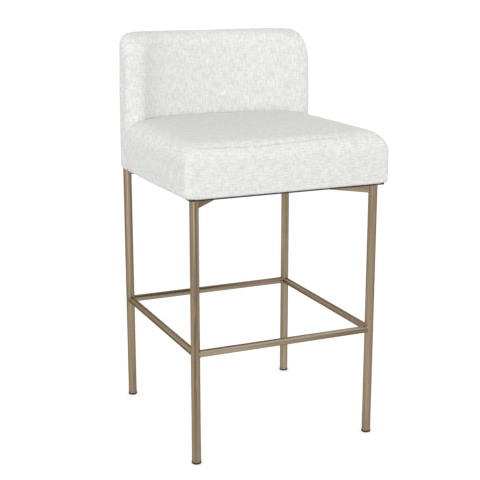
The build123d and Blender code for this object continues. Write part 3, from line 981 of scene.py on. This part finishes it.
class STOOL_OT_fasteners(bpy.types.Operator):
    """Zinc-plated bolts, washers, nuts and screws"""

    bl_idname = "stool.fasteners"
    bl_label = "Finish Fasteners"

    def execute(self, context):
        screws = ("base_board_screws", "back_rib_screws")
        dress(zinc_plate(), "seat_bolts", "seat_bolt_washers", "seat_tee_nuts", *screws)
        return {"FINISHED"}


class STOOL_OT_boards(bpy.types.Operator):
    """Black base board, plywood deck and back frame, hardboard skins"""

    bl_idname = "stool.boards"
    bl_label = "Finish Boards"

    def execute(self, context):
        dress(black_board(), "base_board")
        ribs = ("back_rib_bottom", "back_rib_middle", "back_rib_top")
        dress(birch_plywood(), "seat_deck", *ribs, "back_posts_lower", "back_posts_upper")
        dress(brown_hardboard(), "back_inner_skin", "back_outer_skin")
        return {"FINISHED"}


class STOOL_OT_fillings(bpy.types.Operator):
    """Foam under the covers"""

    bl_idname = "stool.fillings"
    bl_label = "Finish Fillings"

    def execute(self, context):
        dress(cut_foam(), "seat_foam", "back_foam")
        return {"FINISHED"}


class STOOL_OT_seat_cover(bpy.types.Operator):
    """Filled linen seat cover with a seam under its front roll"""

    bl_idname = "stool.seat_cover"
    bl_label = "Make Seat Cover"

    def execute(self, context):
        sizes = settings()[0]

        def held(points):
            x, y, z = points.T
            against_back = np.minimum(y - sizes.back_end, bow_form(x, y)) > -HELD_WIDTH
            return (z < sizes.bottom + HELD_WIDTH) | against_back

        def off_seam(points):
            x, y, z = points.T
            wander = np.interp(x, SEAM_PLACES, SEAM_WANDER)
            ahead = y < sizes.seat_round - sizes.half_depth
            on_front = ahead & (np.abs(x) < sizes.half_width - sizes.front_corner)
            return np.where(on_front, z - sizes.seam_height - wander, 1.0)

        # The seat's linen paints shade along its front seam.
        linen = slub_linen("slub_linen_seat", 1.0, 0.7, True)
        stands_for = ("seat_cover", "seat_wadding")
        piece = make_cover(
            "seat_upholstery", seat_form, SEAT_LOW, SEAT_HIGH, held, seat_around, linen, stands_for
        )
        draw_seam(piece, off_seam)
        return {"FINISHED"}


class STOOL_OT_back_cover(bpy.types.Operator):
    """Filled linen cover of the back that wraps round the sitter"""

    bl_idname = "stool.back_cover"
    bl_label = "Make Back Cover"

    def execute(self, context):
        sizes = settings()[0]

        def held(points):
            x, y, z = points.T
            against_seat = (bow_form(x, y) > -HELD_WIDTH) & (z < sizes.seat_top - HELD_DROP)
            return (z < sizes.bottom + HELD_WIDTH) | against_seat

        linen = slub_linen("slub_linen_back", 0.7, 1.0)
        stands_for = ("back_cover", "back_wadding")
        make_cover(
            "back_upholstery", back_form, BACK_LOW, BACK_HIGH, held, back_around, linen, stands_for
        )
        return {"FINISHED"}


class STOOL_OT_stage(bpy.types.Operator):
    """Pale floor, soft studio light and the camera"""

    bl_idname = "stool.stage"
    bl_label = "Set Stage"

    def execute(self, context):
        stage = settings()[2]
        scene = context.scene
        scene.view_settings.view_transform = "Standard"

        half = stage.floor_size / 2
        mesh = bpy.data.meshes.new("floor")
        corners = [(-half, -half, 0), (half, -half, 0), (half, half, 0), (-half, half, 0)]
        mesh.from_pydata(corners, [], [(0, 1, 2, 3)])
        floor = bpy.data.objects.new("floor", mesh)
        scene.collection.objects.link(floor)
        mesh.materials.append(self.floor_material(stage))
        scene.world = self.sky(stage)

        lamp = bpy.data.lights.new("front_lamp", "AREA")
        lamp.size = stage.key_size
        lamp.energy = stage.key_power
        self.aimed("front_lamp", lamp, stage.key_place, LAMP_AIM)

        data = bpy.data.cameras.new("camera")
        data.lens = stage.camera_lens
        data.sensor_width = SENSOR_WIDTH
        scene.camera = self.aimed("camera", data, stage.camera_place, stage.camera_target)
        return {"FINISHED"}

    def aimed(self, name, data, place, target):
        """Lamp or camera that looks at a point."""
        made = bpy.data.objects.new(name, data)
        made.location = place
        aim = Vector(target) - Vector(place)
        made.rotation_euler = aim.to_track_quat("-Z", "Y").to_euler()
        bpy.context.scene.collection.objects.link(made)
        return made

    def seen(self, tree):
        """1 for rays that show the surface itself: to the camera, in a mirror or through glass."""
        rays = node(tree, "ShaderNodeLightPath").outputs
        shown = sums(tree, "MAXIMUM", rays["Is Camera Ray"], rays["Is Glossy Ray"])
        return sums(tree, "MAXIMUM", shown, rays["Is Transmission Ray"])

    def floor_material(self, stage):
        """Matt pale floor that keeps shadows and shows white where it is seen."""
        material, tree, shader = new_material("pale_floor", roughness=0.9, specular_ior_level=0.0)
        place = place_on_piece(tree)
        specks = streaks(tree, place, (40.0, 40.0, 40.0), 3.0)
        base = wash(tree, with_alpha(stage.floor), specks, 0.02, (0.8, 0.8, 0.8))
        tree.links.new(base, shader.inputs["Base Color"])
        shader.inputs["Emission Color"].default_value = (1, 1, 1, 1)
        glow = sums(tree, "MULTIPLY", self.seen(tree), stage.floor_glow)
        tree.links.new(glow, shader.inputs["Emission Strength"])
        return material

    def sky(self, stage):
        """Even light from all round, white where it is seen."""
        world = bpy.data.worlds.new("studio")
        world.use_nodes = True
        tree = world.node_tree
        background = tree.nodes["Background"]
        background.inputs["Color"].default_value = (1, 1, 1, 1)
        toward = node(tree, "ShaderNodeTexCoord").outputs["Generated"]
        height = node(tree, "ShaderNodeSeparateXYZ", {0: toward}).outputs[2]
        fall = sums(tree, "MULTIPLY", ramp(tree, height, 0.05, 0.9), stage.sky_low - stage.sky_high)
        brightness = sums(tree, "SUBTRACT", stage.sky_low, fall)
        shown = self.seen(tree)
        unseen = sums(tree, "MULTIPLY", brightness, sums(tree, "SUBTRACT", 1.0, shown))
        tree.links.new(sums(tree, "ADD", unseen, shown), background.inputs["Strength"])
        return world


class STOOL_PT_panel(bpy.types.Panel):
    """Steps and sizes of the stool's finish"""

    bl_idname = "STOOL_PT_panel"
    bl_label = "Bar Stool"
    bl_space_type = "VIEW_3D"
    bl_region_type = "UI"
    bl_category = "Stool"

    def draw(self, context):
        layout = self.layout
        for operator in OPERATORS:
            layout.operator(operator.bl_idname)
        for group in settings():
            box = layout.box()
            for name in group.__annotations__:
                box.prop(group, name)


GROUPS = {"stool_upholstery": StoolUpholstery, "stool_finish": StoolFinish, "stool_stage": StoolStage}
OPERATORS = (
    STOOL_OT_stage,
    STOOL_OT_frame_finish,
    STOOL_OT_welds,
    STOOL_OT_glides,
    STOOL_OT_fasteners,
    STOOL_OT_boards,
    STOOL_OT_fillings,
    STOOL_OT_seat_cover,
    STOOL_OT_back_cover,
)


def register():
    for group in GROUPS.values():
        bpy.utils.register_class(group)
    for name, group in GROUPS.items():
        setattr(bpy.types.Scene, name, PointerProperty(type=group))
    for operator in (*OPERATORS, STOOL_PT_panel):
        bpy.utils.register_class(operator)


def unregister():
    for operator in (STOOL_PT_panel, *reversed(OPERATORS)):
        bpy.utils.unregister_class(operator)
    for name, group in GROUPS.items():
        delattr(bpy.types.Scene, name)
        bpy.utils.unregister_class(group)


def main():
    """Runs every step in order."""
    register()
    bpy.ops.stool.stage()
    bpy.ops.stool.frame_finish()
    bpy.ops.stool.welds()
    bpy.ops.stool.glides()
    bpy.ops.stool.fasteners()
    bpy.ops.stool.boards()
    bpy.ops.stool.fillings()
    bpy.ops.stool.seat_cover()
    bpy.ops.stool.back_cover()


if __name__ == "__main__":
    main()
